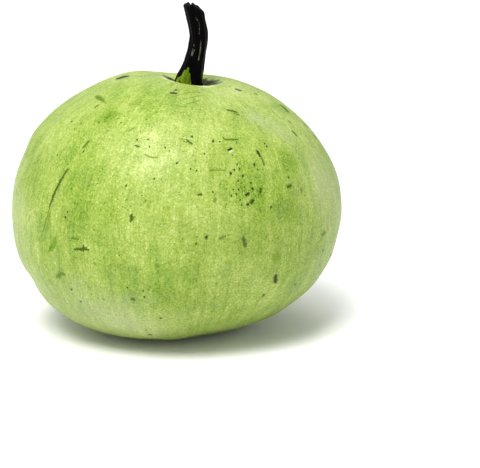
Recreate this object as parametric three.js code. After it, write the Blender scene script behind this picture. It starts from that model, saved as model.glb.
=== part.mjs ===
// A whole round bottle gourd, fresh, with its dried stem.
// Millimetres, +Z up. The gourd sits on its blossom end, with the stem on top.
// The origin is the centre of the bounding box's underside, level with the resting spot.
import * as THREE from 'three';

// Driving dimensions of the fruit, measured from the centre of its equator.
const BELLY_RADIUS = 85;
const HALF_HEIGHT = 67;

// How square each quarter of the outline is: 2 is an ellipse, more is squarer, less is straighter.
const SQUARENESS = { lowLeft: 2.75, lowRight: 2.35, highLeft: 2.5, highRight: 1.75 };
const BELLY_BLEND = 0.4;

// The crown leans to the right, and a rounded shoulder stands up to the left of the stem.
const CROWN_SHIFT = 8;
const SHOULDER_HEIGHT = 3.2;
const SHOULDER_RADIUS = 31.5;
const SHOULDER_WIDTH = 18.5;
const SHOULDER_AZIMUTH = THREE.MathUtils.degToRad(200);
const SHOULDER_SPREAD = 1.5;

// A shallow dip in the crown behind the stem.
const BACK_DIP = { azimuth: THREE.MathUtils.degToRad(105), radius: 36, depth: 1.9, width: 15, spread: 0.6 };

// Where the sides are flatter or fuller: the amount is added to the radius round an azimuth and
// a height from the equator, over a tallness in millimetres and a spread in radians.
const SIDE_CHANGES = [
  { azimuth: Math.PI, height: 43, amount: 1, tallness: 13, spread: 0.9 },
  { azimuth: Math.PI, height: 21, amount: -2, tallness: 21, spread: 0.9 },
  { azimuth: Math.PI, height: -37, amount: -2, tallness: 7.5, spread: 0.9 },
  { azimuth: 0, height: -6, amount: 0.9, tallness: 16, spread: 0.8 },
];

// The cavity that the stem stands in, inside a wide shallow hollow.
const CAVITY_DEPTH = 6;
const CAVITY_RADIUS = 12.8;
const CAVITY_STEEPNESS = 3;
const HOLLOW_DEPTH = 3;
const HOLLOW_RADIUS = 26.5;

// Faint lobes that run from the stem to the blossom end, and fade out towards both.
const LOBES = [
  { count: 3, depth: 0.7, turn: 0.9 },
  { count: 5, depth: 0.6, turn: 2.2 },
  { count: 8, depth: 0.3, turn: 0.4 },
];
const LOBES_START = 0.15;
const LOBES_FULL = 0.6;

// The underside: a flat resting spot, with the dimpled blossom scar inside it.
const REST_FLATTENING = 0.75;
const REST_EDGE_SOFTNESS = 0.12;
const SCAR = { radius: 8, height: 1.2, level: 0.35 };
const SCAR_NUB = { radius: 2.6, height: 0.7, level: 0.3 };

// The stem's centre line is one cubic curve: its foot, the two points that pull it to the right,
// and its tip, each as the distance right of the fruit's axis and the height over the cavity's floor.
const STEM_LINE = [
  { right: 6.5, height: 0 },
  { right: 12.8, height: 25.2 },
  { right: 14.6, height: 24.4 },
  { right: 8.9, height: 44.3 },
];

// The stem's thickness: even near the tip, swelling below its middle and flaring at its foot.
const STEM_RADIUS = 4.4;
const STEM_SWELL = 1.6;
const STEM_SWELL_END = 0.6;
const STEM_FOOT_RADIUS = 9.6;
const STEM_FLARE_HEIGHT = 3.2;

// The stem's ridges, the foot that follows the cavity's floor, and the cut at the tip, which
// slants all over and more to the right.
const STEM_RIDGES = 5;
const STEM_RIDGE_AZIMUTH = THREE.MathUtils.degToRad(240);
const STEM_RIDGE_DEPTH = 0.45;
const STEM_ROOT_SPREAD = 0.35;
const STEM_TWIST = 0.5;
const STEM_GAP = 0.3;
const STEM_SEAT_END = 0.14;
const STEM_CUT_START = 0.76;
const STEM_CUT_SLANT = 0.2;
const STEM_CUT_BEVEL = 0.8;
const STEM_CUT_ROUNDING = 0.5;
const STEM_CUT_HOLLOW = 1.4;

// How finely the surfaces are divided. Rings crowd together where the form changes quickly.
const FRUIT_GRID = { around: 68, rings: 44, crowding: 0.88 };
const STEM_GRID = { around: 30, rings: 20, crowding: 1.2 };

// Colours and finishes.
const SKIN_FINISH = { color: 0xb3cf66, roughness: 0.5, metalness: 0 };
const STEM_FINISH = { color: 0x17130f, roughness: 0.42, metalness: 0 };

const TURN = 2 * Math.PI;

function smoothStep(low, high, value) {
  const t = THREE.MathUtils.clamp((value - low) / (high - low), 0, 1);
  return t * t * (3 - 2 * t);
}

// The height over a floor, or zero below it, with the corner between the two rounded.
function softFloor(height, softness) {
  if (height <= -softness) return 0;
  if (height >= softness) return height;
  return (height + softness) ** 2 / (4 * softness);
}

// A bell curve: 1 at no distance, and falling off over a width.
function bell(distance, width) {
  return Math.exp(-((distance / width) ** 2));
}

// How far an azimuth is turned from another, from minus half a turn to half a turn.
function turned(azimuth, from) {
  return THREE.MathUtils.euclideanModulo(azimuth - from + Math.PI, TURN) - Math.PI;
}

// A round bump with a level middle, at a distance from its centre.
function roundBump(bump, distance) {
  return bump.height * (1 - smoothStep(bump.level, 1, distance / bump.radius));
}

// The outline's squareness at a level (-1 to 1) and an azimuth.
function squareness(level, azimuth) {
  const leftness = (1 - Math.cos(azimuth)) / 2;
  const low = THREE.MathUtils.lerp(SQUARENESS.lowRight, SQUARENESS.lowLeft, leftness);
  const high = THREE.MathUtils.lerp(SQUARENESS.highRight, SQUARENESS.highLeft, leftness);
  return THREE.MathUtils.lerp(low, high, smoothStep(-BELLY_BLEND, BELLY_BLEND, level));
}

// What the shoulder, the cavity, the hollow and the dip add to the height of the upper half.
function crownRelief(radius, azimuth) {
  const facing = Math.max(Math.cos(azimuth - SHOULDER_AZIMUTH), 0) ** SHOULDER_SPREAD;
  const shoulder = SHOULDER_HEIGHT * facing * bell(radius - SHOULDER_RADIUS, SHOULDER_WIDTH);
  const cavity = CAVITY_DEPTH * Math.exp(-((radius / CAVITY_RADIUS) ** CAVITY_STEEPNESS));
  const hollow = HOLLOW_DEPTH * bell(radius, HOLLOW_RADIUS);
  const behind = bell(turned(azimuth, BACK_DIP.azimuth), BACK_DIP.spread);
  const dip = BACK_DIP.depth * behind * bell(radius - BACK_DIP.radius, BACK_DIP.width);
  return shoulder - cavity - hollow - dip;
}

// A point on the fruit's skin, by latitude (-90 to 90 degrees) and azimuth, both in radians.
function skinPoint(latitude, azimuth) {
  const level = Math.sin(latitude);
  const reach = Math.max(Math.cos(latitude), 0);
  const power = squareness(level, azimuth);
  const across = (reach / BELLY_RADIUS) ** power;
  const along = (Math.abs(level) / HALF_HEIGHT) ** power;
  const size = (across + along) ** (-1 / power);
  let radius = size * reach;
  let z = size * level;
  if (level > 0) z += crownRelief(radius, azimuth);
  const lobing = smoothStep(LOBES_START, LOBES_FULL, reach);
  for (const lobe of LOBES) {
    radius += lobing * lobe.depth * Math.cos(lobe.count * azimuth + lobe.turn);
  }
  for (const side of SIDE_CHANGES) {
    const facing = bell(turned(azimuth, side.azimuth), side.spread);
    radius += lobing * side.amount * facing * bell(z - side.height, side.tallness);
  }
  const floor = REST_FLATTENING - HALF_HEIGHT;
  z = floor + softFloor(z - floor, REST_EDGE_SOFTNESS);
  if (z === floor) z += roundBump(SCAR, radius) - roundBump(SCAR_NUB, radius);
  const shift = CROWN_SHIFT * smoothStep(0, 1, z / HALF_HEIGHT);
  return new THREE.Vector3(radius * Math.cos(azimuth) + shift, radius * Math.sin(azimuth), z);
}

// The height of the cavity's floor or wall at a place, found by halving a range of latitudes.
function cavityHeight(x, y) {
  const halvings = 40;
  const wanted = Math.hypot(x - CROWN_SHIFT, y);
  const azimuth = Math.atan2(y, x - CROWN_SHIFT);
  let low = Math.PI / 4;
  let high = Math.PI / 2;
  for (let step = 0; step < halvings; step += 1) {
    const trial = (low + high) / 2;
    const point = skinPoint(trial, azimuth);
    if (Math.hypot(point.x - CROWN_SHIFT, point.y) > wanted) low = trial;
    else high = trial;
  }
  return skinPoint(high, azimuth).z;
}

// A closed mesh from a stack of rings, with a pole point under the first and over the last.
function ringedSolid(rings, bottomPole, topPole) {
  const around = rings[0].length;
  const points = [bottomPole, ...rings.flat(), topPole];
  const bottom = 0;
  const top = points.length - 1;
  const last = rings.length - 1;
  const at = (ring, step) => 1 + ring * around + (step % around);
  const indices = [];
  for (let step = 0; step < around; step += 1) {
    indices.push(bottom, at(0, step + 1), at(0, step));
    indices.push(top, at(last, step), at(last, step + 1));
    for (let ring = 0; ring < last; ring += 1) {
      indices.push(at(ring, step), at(ring, step + 1), at(ring + 1, step + 1));
      indices.push(at(ring, step), at(ring + 1, step + 1), at(ring + 1, step));
    }
  }
  const positions = points.flatMap((point) => point.toArray());
  const geometry = new THREE.BufferGeometry();
  geometry.setAttribute('position', new THREE.Float32BufferAttribute(positions, 3));
  geometry.setIndex(indices);
  geometry.computeVertexNormals();
  return geometry;
}

// The latitude of a ring: rings crowd towards both poles, for the cavity and the blossom scar.
function ringLatitude(ring) {
  const fraction = ring / FRUIT_GRID.rings;
  const eased = fraction - (FRUIT_GRID.crowding * Math.sin(TURN * fraction)) / TURN;
  return (eased - 0.5) * Math.PI;
}

function fruitGeometry() {
  const rings = [];
  for (let ring = 1; ring < FRUIT_GRID.rings; ring += 1) {
    const points = [];
    for (let step = 0; step < FRUIT_GRID.around; step += 1) {
      points.push(skinPoint(ringLatitude(ring), (TURN * step) / FRUIT_GRID.around));
    }
    rings.push(points);
  }
  return ringedSolid(rings, skinPoint(ringLatitude(0), 0), skinPoint(Math.PI / 2, 0));
}

// The stem's radius at a fraction of its height, with ridges that twist as they climb.
function stemRadius(fraction, azimuth) {
  const height = fraction * STEM_LINE[3].height;
  const ridge = Math.cos(STEM_RIDGES * (azimuth - STEM_RIDGE_AZIMUTH) + STEM_TWIST * fraction);
  const swell = STEM_SWELL * (1 - smoothStep(0, STEM_SWELL_END, fraction));
  const flare = (STEM_FOOT_RADIUS - STEM_RADIUS - STEM_SWELL) * (1 + STEM_ROOT_SPREAD * ridge);
  const spread = flare * Math.exp(-height / STEM_FLARE_HEIGHT);
  return STEM_RADIUS + swell + spread + STEM_RIDGE_DEPTH * ridge;
}

function stemGeometry() {
  const floor = cavityHeight(STEM_LINE[0].right, 0) + STEM_GAP;
  const line = new THREE.CubicBezierCurve3(
    ...STEM_LINE.map((place) => new THREE.Vector3(place.right, 0, place.height)),
  );
  const rings = [];
  for (let ring = 0; ring <= STEM_GRID.rings; ring += 1) {
    const along = (ring / STEM_GRID.rings) ** STEM_GRID.crowding;
    const centre = line.getPoint(along);
    const heading = line.getTangent(along);
    const fraction = centre.z / STEM_LINE[3].height;
    const seating = 1 - smoothStep(0, STEM_SEAT_END, fraction);
    const cutting = smoothStep(STEM_CUT_START, 1, fraction);
    const rounding = ring === STEM_GRID.rings ? STEM_CUT_ROUNDING : 0;
    const points = [];
    for (let step = 0; step < STEM_GRID.around; step += 1) {
      const azimuth = (TURN * step) / STEM_GRID.around;
      const radius = stemRadius(fraction, azimuth) - rounding;
      const side = radius * Math.cos(azimuth);
      const cut = cutting * (STEM_CUT_SLANT * side + STEM_CUT_BEVEL * Math.max(side, 0));
      const x = centre.x + side * THREE.MathUtils.lerp(heading.z, 1, seating) - cut * heading.x;
      const y = radius * Math.sin(azimuth);
      const free = floor + centre.z - side * heading.x - cut * heading.z;
      const seated = cavityHeight(x, y) + STEM_GAP;
      points.push(new THREE.Vector3(x, y, THREE.MathUtils.lerp(free, seated, seating)));
    }
    rings.push(points);
  }
  const foot = new THREE.Vector3(STEM_LINE[0].right, 0, floor);
  const tip = line.getPoint(1);
  tip.z += floor - STEM_CUT_HOLLOW;
  return ringedSolid(rings, foot, tip);
}

function subPart(name, geometry, finish) {
  const mesh = new THREE.Mesh(geometry, new THREE.MeshStandardMaterial(finish));
  mesh.name = name;
  return mesh;
}

const gourd = new THREE.Group();
gourd.add(subPart('fruit', fruitGeometry(), SKIN_FINISH));
gourd.add(subPart('stem', stemGeometry(), STEM_FINISH));

// Stand the gourd on z = 0, centred on its bounding box.
const bounds = new THREE.Box3().setFromObject(gourd);
const middle = bounds.getCenter(new THREE.Vector3());
for (const mesh of gourd.children) {
  mesh.geometry.translate(-middle.x, -middle.y, -bounds.min.z);
}

export default gourd;
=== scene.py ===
import math
from collections import namedtuple

import bpy
import numpy as np
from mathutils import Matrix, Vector
from mathutils.bvhtree import BVHTree


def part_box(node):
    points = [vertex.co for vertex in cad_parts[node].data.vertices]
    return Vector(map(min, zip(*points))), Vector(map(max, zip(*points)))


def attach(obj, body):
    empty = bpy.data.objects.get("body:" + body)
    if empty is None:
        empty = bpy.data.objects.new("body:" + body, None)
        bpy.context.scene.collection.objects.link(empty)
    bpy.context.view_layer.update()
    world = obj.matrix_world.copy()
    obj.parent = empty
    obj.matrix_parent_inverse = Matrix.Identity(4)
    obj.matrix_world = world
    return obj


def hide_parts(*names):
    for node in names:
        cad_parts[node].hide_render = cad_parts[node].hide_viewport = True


# A whole fresh bottle gourd with its dried stem: skin, marks, stem cavity, blossom scar and stem.
# Metres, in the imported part's frame: +Z up, and the photograph looks along +Y from above.
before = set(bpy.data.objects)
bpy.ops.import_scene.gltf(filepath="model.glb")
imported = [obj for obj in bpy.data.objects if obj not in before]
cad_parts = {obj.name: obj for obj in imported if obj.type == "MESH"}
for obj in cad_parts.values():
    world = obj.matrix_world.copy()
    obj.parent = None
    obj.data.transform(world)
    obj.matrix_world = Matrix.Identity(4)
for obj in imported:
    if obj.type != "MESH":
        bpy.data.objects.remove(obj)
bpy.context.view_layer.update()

MM = 0.001
TURN = 2 * math.pi

# The photograph's frame and camera. Places in it are (across, down) in its own pixels.
PHOTO_SIZE = (480, 468)
FRUIT_CENTRE_IN_PHOTO = (175.7, 200.2)
PIXELS_PER_METRE = 1922.8
CAMERA_DISTANCE = 1.1
CAMERA_ELEVATION = math.radians(14)
SENSOR_WIDTH = 36 * MM

# The fruit's form, as in the part's source.
BELLY_RADIUS = 85 * MM
HALF_HEIGHT = 67 * MM
SQUARENESS = {"low_left": 2.75, "low_right": 2.35, "high_left": 2.5, "high_right": 1.75}
BELLY_BLEND = 0.4
CROWN_SHIFT = 8 * MM
SHOULDER_HEIGHT = 3.2 * MM
SHOULDER_RADIUS = 31.5 * MM
SHOULDER_WIDTH = 18.5 * MM
SHOULDER_AZIMUTH = math.radians(200)
SHOULDER_SPREAD = 1.5
BACK_DIP_AZIMUTH = math.radians(105)
BACK_DIP_RADIUS = 36 * MM
BACK_DIP_DEPTH = 1.9 * MM
BACK_DIP_WIDTH = 15 * MM
BACK_DIP_SPREAD = 0.6
# Where the sides are flatter or fuller: azimuth, height, change of radius, tallness and spread.
SIDE_CHANGES = (
    (math.pi, 43 * MM, 1 * MM, 13 * MM, 0.9),
    (math.pi, 21 * MM, -2 * MM, 21 * MM, 0.9),
    (math.pi, -37 * MM, -2 * MM, 7.5 * MM, 0.9),
    (0, -6 * MM, 0.9 * MM, 16 * MM, 0.8),
)
CAVITY_DEPTH = 6 * MM
CAVITY_RADIUS = 12.8 * MM
CAVITY_STEEPNESS = 3
HOLLOW_DEPTH = 3 * MM
HOLLOW_RADIUS = 26.5 * MM
LOBES = ((3, 0.7 * MM, 0.9), (5, 0.6 * MM, 2.2), (8, 0.3 * MM, 0.4))
LOBES_START = 0.15
LOBES_FULL = 0.6
REST_FLATTENING = 0.75 * MM
REST_EDGE_SOFTNESS = 0.12 * MM
SCAR_RADIUS = 8 * MM
SCAR_HEIGHT = 1.2 * MM
SCAR_LEVEL = 0.35
NUB_RADIUS = 2.6 * MM
NUB_HEIGHT = 0.7 * MM
NUB_LEVEL = 0.3

# How finely the skin is divided, and the longest way across one of its faces.
FRUIT_AROUND = 400
FRUIT_RINGS = 236
FRUIT_CROWDING = 0.45
FACE_SPAN = 2.2 * MM

# The skin's own relief: slow undulations, fine ones, wrinkles round the hollow and folds in the cavity.
WAVE_HEIGHT = 0.45 * MM
WAVE_GRAIN = 42 * MM
DIMPLE_HEIGHT = 0.14 * MM
DIMPLE_GRAIN = 9 * MM
RELIEF_START = 7 * MM
WRINKLE_HEIGHT = 0.11 * MM
WRINKLE_PITCH = 2.7 * MM
WRINKLE_RADIUS = 25 * MM
WRINKLE_WIDTH = 7 * MM
WRINKLE_AZIMUTH = math.radians(262)
WRINKLE_SPREAD = 1.1
WRINKLE_BEHIND = 0.35
FOLD_HEIGHT = 0.3 * MM
FOLD_COUNT = 11
FOLD_RADIUS = 12 * MM
FOLD_WIDTH = 4 * MM
# How far, in radians, wrinkles and folds wander from their rings and rays.
WANDER_GRAIN = 9 * MM
WRINKLE_WANDER = 1.8
FOLD_WANDER = 1.5
RIDGE_HEIGHT = 0.9 * MM
RIDGE_AZIMUTH = math.radians(225)
RIDGE_SPREAD = 0.5
RIDGE_RADIUS = 19 * MM
RIDGE_WIDTH = 5 * MM

# Painted shade and some stain darken the cavity, higher up its right wall; a painted highlight lines its
# front lip.
STAIN_AND_SHADE_REACH = 13 * MM
STAIN_AND_SHADE_GROWTH = 6 * MM
STAIN_AND_SHADE_AZIMUTH = math.radians(14)
STAIN_AND_SHADE_SPREAD = 0.9
STAIN_AND_SHADE_CORE = 0.62
LIP_AZIMUTH = math.radians(255)
LIP_SPREAD = 1.3
LIP_RADIUS = 15 * MM
LIP_WIDTH = 1.5 * MM
LIP_BEHIND = 0.2
# Where the blossom scar's cork begins to fade, and where it ends, in shares of the scar's radius.
CORK_FADE = (0.6, 1.25)

# The stem's form, as in the part's source.
STEM_LINE = ((6.5 * MM, 0), (12.8 * MM, 25.2 * MM), (14.6 * MM, 24.4 * MM), (8.9 * MM, 44.3 * MM))
STEM_RADIUS = 4.4 * MM
STEM_SWELL = 1.6 * MM
STEM_SWELL_END = 0.6
STEM_FOOT_RADIUS = 9.6 * MM
STEM_FLARE_HEIGHT = 3.2 * MM
STEM_RIDGES = 5
STEM_RIDGE_AZIMUTH = math.radians(240)
STEM_RIDGE_DEPTH = 0.45 * MM
STEM_ROOT_SPREAD = 0.35
STEM_TWIST = 0.5
STEM_GAP = 0.3 * MM
STEM_SEAT_END = 0.14
STEM_CUT_START = 0.76
STEM_CUT_SLANT = 0.2
STEM_CUT_BEVEL = 0.8
STEM_CUT_HOLLOW = 1.4 * MM

# What only shows here on the stem: its sunk foot, fine ribs and shrunken skin.
STEM_SINK = 0.5 * MM
STEM_SINK_END = 0.05
STEM_RIBS = 17
STEM_RIB_DEPTH = 0.13 * MM
STEM_RIB_WANDER = 2.2
STEM_RIB_TWIST = 1.5
STEM_CREASE_DEPTH = 0.096 * MM
STEM_KNOT_HEIGHT = 0.112 * MM
# Random fields over the stem: how much its height counts beside its girth, their grain and seed.
RIB_FIELD = (0.22, 3 * MM, 31)
CREASE_FIELD = (0.35, 1.5 * MM, 32)
KNOT_FIELD = (1, 4.5 * MM, 33)
FIBRE_RISE = 0.12
# The stem's end: rounded, ragged and notched, with a hollow of rough pith. Where each begins is a
# share of the stem's height, and the hollow's rim a share of the end's radius.
STEM_END_ROUNDING = 0.9 * MM
STEM_ROUNDED_FROM = 0.965
STEM_RAGGEDNESS = 0.3 * MM
STEM_RAGGED_GRAIN = 0.35
STEM_RAGGED_FROM = 0.93
STEM_NOTCH_SIDE = -0.6 * MM
STEM_NOTCH_WIDTH = 0.45 * MM
STEM_NOTCH_DEPTH = 1.1 * MM
PITH_FROM = 0.99
PITH_RIM = 0.25
PITH_ROUGHNESS = 0.14 * MM
PITH_GRAIN = 0.9 * MM
# How finely the stem is divided, with its rings a little closer at its foot.
STEM_AROUND = 180
STEM_RINGS = 200
STEM_CROWDING = 1.1
STEM_END_RINGS = 12


def mix(a, b, share):
    return a + (b - a) * share


def smooth_step(low, high, value):
    t = np.clip((value - low) / (high - low), 0, 1)
    return t * t * (3 - 2 * t)


def bell(distance, width):
    return np.exp(-((distance / width) ** 2))


def turned(azimuth, towards):
    """How far an azimuth is turned from another one, between -180 and 180 degrees, in radians."""
    return (azimuth - towards + math.pi) % TURN - math.pi


def ripples(points, grain, seed, waves=24):
    """A smooth random field, mostly between -1 and 1, with humps of about one grain."""
    rng = np.random.default_rng(seed)
    directions = rng.normal(size=(waves, 3))
    directions /= np.linalg.norm(directions, axis=1)[:, None]
    lengths = 2 * grain * rng.uniform(0.7, 1.5, waves)
    phases = rng.uniform(0, TURN, waves)
    field = np.sin(points @ (directions * (TURN / lengths)[:, None]).T + phases)
    return field.sum(axis=-1) / math.sqrt(waves)


# The camera stands where the photograph's stood.


def add_camera(fruit_centre):
    elevation = CAMERA_ELEVATION
    right = Vector((1, 0, 0))
    up = Vector((0, math.sin(elevation), math.cos(elevation)))
    across = (PHOTO_SIZE[0] / 2 - FRUIT_CENTRE_IN_PHOTO[0]) / PIXELS_PER_METRE
    down = (PHOTO_SIZE[1] / 2 - FRUIT_CENTRE_IN_PHOTO[1]) / PIXELS_PER_METRE
    target = Vector(fruit_centre) + right * across - up * down
    back = Vector((0, -math.cos(elevation), math.sin(elevation)))
    data = bpy.data.cameras.new("camera")
    data.sensor_width = SENSOR_WIDTH / MM
    data.lens = data.sensor_width * PIXELS_PER_METRE * CAMERA_DISTANCE / PHOTO_SIZE[0]
    camera = bpy.data.objects.new("camera", data)
    camera.location = target + back * CAMERA_DISTANCE
    camera.rotation_euler = (math.pi / 2 - elevation, 0, 0)
    bpy.context.scene.collection.objects.link(camera)
    bpy.context.scene.camera = camera
    return camera


def photo_ray(place):
    """The direction from the camera to a place in the photograph."""
    focal_pixels = PIXELS_PER_METRE * CAMERA_DISTANCE
    across = (place[0] - PHOTO_SIZE[0] / 2) / focal_pixels
    up = (PHOTO_SIZE[1] / 2 - place[1]) / focal_pixels
    sine, cosine = math.sin(CAMERA_ELEVATION), math.cos(CAMERA_ELEVATION)
    return Vector((across, cosine + up * sine, up * cosine - sine)).normalized()


def photo_places(points, camera):
    """Where points in space are in the photograph."""
    focal_pixels = PIXELS_PER_METRE * CAMERA_DISTANCE
    x, y, z = (np.asarray(points) - np.array(camera.location)).T
    sine, cosine = math.sin(CAMERA_ELEVATION), math.cos(CAMERA_ELEVATION)
    depth = y * cosine - z * sine
    up = y * sine + z * cosine
    across = PHOTO_SIZE[0] / 2 + focal_pixels * x / depth
    return np.stack([across, PHOTO_SIZE[1] / 2 - focal_pixels * up / depth], axis=-1)


# The fruit's skin.


def squareness(level, azimuth):
    leftness = (1 - np.cos(azimuth)) / 2
    low = mix(SQUARENESS["low_right"], SQUARENESS["low_left"], leftness)
    high = mix(SQUARENESS["high_right"], SQUARENESS["high_left"], leftness)
    return mix(low, high, smooth_step(-BELLY_BLEND, BELLY_BLEND, level))


def crown_relief(radius, azimuth):
    """What the shoulder, the cavity, the hollow and the dip add to the height of the upper half."""
    facing = np.maximum(np.cos(azimuth - SHOULDER_AZIMUTH), 0) ** SHOULDER_SPREAD
    shoulder = SHOULDER_HEIGHT * facing * bell(radius - SHOULDER_RADIUS, SHOULDER_WIDTH)
    cavity = CAVITY_DEPTH * np.exp(-((radius / CAVITY_RADIUS) ** CAVITY_STEEPNESS))
    hollow = HOLLOW_DEPTH * bell(radius, HOLLOW_RADIUS)
    behind = bell(turned(azimuth, BACK_DIP_AZIMUTH), BACK_DIP_SPREAD)
    dip = BACK_DIP_DEPTH * behind * bell(radius - BACK_DIP_RADIUS, BACK_DIP_WIDTH)
    return shoulder - cavity - hollow - dip


def soft_floor(height, softness):
    """The height over a floor, or zero below it, with the corner between the two rounded."""
    rounded = (height + softness) ** 2 / (4 * softness)
    return np.where(height >= softness, height, np.where(height <= -softness, 0, rounded))


def skin_points(latitude, azimuth):
    """Points on the skin, from the centre of the fruit's equator, and their distance from its axis."""
    level = np.sin(latitude)
    reach = np.maximum(np.cos(latitude), 0)
    power = squareness(level, azimuth)
    size = ((reach / BELLY_RADIUS) ** power + (np.abs(level) / HALF_HEIGHT) ** power) ** (-1 / power)
    radius = size * reach
    height = size * level + np.where(level > 0, crown_relief(radius, azimuth), 0)
    lobing = smooth_step(LOBES_START, LOBES_FULL, reach)
    for count, depth, turn in LOBES:
        radius = radius + lobing * depth * np.cos(count * azimuth + turn)
    for side, level_height, amount, tallness, spread in SIDE_CHANGES:
        facing = bell(turned(azimuth, side), spread)
        radius = radius + lobing * amount * facing * bell(height - level_height, tallness)
    floor = REST_FLATTENING - HALF_HEIGHT
    rise = soft_floor(height - floor, REST_EDGE_SOFTNESS)
    dimple = SCAR_HEIGHT * (1 - smooth_step(SCAR_LEVEL, 1, radius / SCAR_RADIUS))
    nub = NUB_HEIGHT * (1 - smooth_step(NUB_LEVEL, 1, radius / NUB_RADIUS))
    height = floor + rise + np.where(rise == 0, dimple - nub, 0)
    shift = CROWN_SHIFT * smooth_step(0, 1, height / HALF_HEIGHT)
    x = radius * np.cos(azimuth) + shift
    return np.stack([x, radius * np.sin(azimuth), height], axis=-1), radius


def cavity_height(x, y, halvings=36):
    """The height of the cavity's floor or wall at a place, found by halving a range of latitudes."""
    wanted = np.hypot(x - CROWN_SHIFT, y)
    azimuth = np.arctan2(y, x - CROWN_SHIFT)
    low = np.full_like(wanted, math.pi / 4)
    high = np.full_like(wanted, math.pi / 2)
    for _ in range(halvings):
        trial = (low + high) / 2
        points, _ = skin_points(trial, azimuth)
        outside = np.hypot(points[..., 0] - CROWN_SHIFT, points[..., 1]) > wanted
        low = np.where(outside, trial, low)
        high = np.where(outside, high, trial)
    return skin_points(high, azimuth)[0][..., 2]


def skin_relief(points, radius, azimuth):
    """How far the real skin stands out of its plain form, or into it."""
    height = points[..., 2]
    spread = smooth_step(0, RELIEF_START, height + HALF_HEIGHT - REST_FLATTENING)
    relief = WAVE_HEIGHT * ripples(points, WAVE_GRAIN, seed=3)
    relief += DIMPLE_HEIGHT * ripples(points, DIMPLE_GRAIN, seed=4)
    front = bell(turned(azimuth, WRINKLE_AZIMUTH), WRINKLE_SPREAD)
    wander = ripples(points, WANDER_GRAIN, seed=5)
    wrinkles = np.cos(TURN * radius / WRINKLE_PITCH + WRINKLE_WANDER * wander)
    upper = smooth_step(0, HALF_HEIGHT / 2, height)
    ring = bell(radius - WRINKLE_RADIUS, WRINKLE_WIDTH)
    relief += WRINKLE_HEIGHT * wrinkles * ring * mix(WRINKLE_BEHIND, 1, front) * upper
    folds = np.cos(FOLD_COUNT * azimuth + FOLD_WANDER * wander)
    relief += FOLD_HEIGHT * folds * bell(radius - FOLD_RADIUS, FOLD_WIDTH) * upper
    beside = bell(turned(azimuth, RIDGE_AZIMUTH), RIDGE_SPREAD)
    relief += RIDGE_HEIGHT * beside * bell(radius - RIDGE_RADIUS, RIDGE_WIDTH) * upper
    return relief * spread


# Closed meshes from rings of points.


def ringed_mesh(name, rings, bottom, top):
    """A smooth closed mesh from rings of points (rings, around, 3), with a map for its finish."""
    count, around = rings.shape[:2]
    step = np.arange(around)
    following = (step + 1) % around
    row = np.arange(count - 1)[:, None]
    first = 1 + row * around
    last = 1 + (count - 1) * around
    quads = np.stack(
        [first + step, first + following, first + around + following, first + around + step], axis=-1
    ).reshape(-1, 4)
    bottom_fan = np.stack([np.zeros_like(step), 1 + following, 1 + step], axis=-1)
    top_fan = np.stack([np.full_like(step, last + around), last + step, last + following], axis=-1)
    faces = bottom_fan.tolist() + quads.tolist() + top_fan.tolist()
    points = np.concatenate([[bottom], rings.reshape(-1, 3), [top]])
    mesh = bpy.data.meshes.new(name)
    mesh.from_pydata(points.tolist(), [], faces)

    def corners(*places):
        return np.stack([np.stack(np.broadcast_arrays(*place), axis=-1) for place in places], axis=-2)

    low, high = row + 1, row + 2
    quad_map = corners((step, low), (step + 1, low), (step + 1, high), (step, high)).reshape(-1, 2)
    bottom_map = corners((step + 0.5, 0), (step + 1, 1), (step, 1)).reshape(-1, 2)
    top_map = corners((step + 0.5, count + 1), (step, count), (step + 1, count)).reshape(-1, 2)
    finish_map = np.concatenate([bottom_map, quad_map, top_map]) / (around, count + 1)
    mesh.uv_layers.new(name="OFBake").data.foreach_set("uv", finish_map.astype(np.float32).ravel())
    mesh.polygons.foreach_set("use_smooth", [True] * len(faces))
    mesh.update()
    return mesh


def mesh_points(mesh):
    points = np.empty(3 * len(mesh.vertices), np.float32)
    mesh.vertices.foreach_get("co", points)
    return points.reshape(-1, 3).astype(float)


def mesh_normals(mesh):
    normals = np.empty(3 * len(mesh.vertices), np.float32)
    mesh.vertex_normals.foreach_get("vector", normals)
    return normals.reshape(-1, 3).astype(float)


def move_points(mesh, points):
    mesh.vertices.foreach_set("co", points.astype(np.float32).ravel())
    mesh.update()


def store_numbers(mesh, name, numbers):
    """Keeps three numbers at each point, for the finish to read."""
    layer = mesh.attributes.new(name, "FLOAT_VECTOR", "POINT")
    layer.data.foreach_set("vector", np.asarray(numbers).astype(np.float32).ravel())


def add_piece(mesh, replaced):
    piece = bpy.data.objects.new(mesh.name, mesh)
    bpy.context.scene.collection.objects.link(piece)
    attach(piece, "root")
    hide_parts(replaced)
    return piece


# Marks on the skin: each is a stroke with round ends, laid over the skin in layers. Its path is
# in the photograph's pixels, its width in millimetres, and its tone from 0, whitish, to 1, black.
OLIVE, DARK, BLACK = 0.5, 0.75, 1
MARK_LAYERS = 7
# How soft a mark's edge is and how much its ends narrow, in shares of its half width, and how
# much bolder than its strength it is drawn.
MARK_SOFTNESS = 0.6
MARK_TAPER = 0.45
MARK_BOLDNESS = 1.15
# How far apart the points of a mark's path are, in the photograph's pixels.
MARK_STEP = 3
# The widths below are of a mark's dark core, and this is its width with its soft edge.
MARK_WIDENING = 1.4
Mark = namedtuple("Mark", "name path width tone strength")

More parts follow.
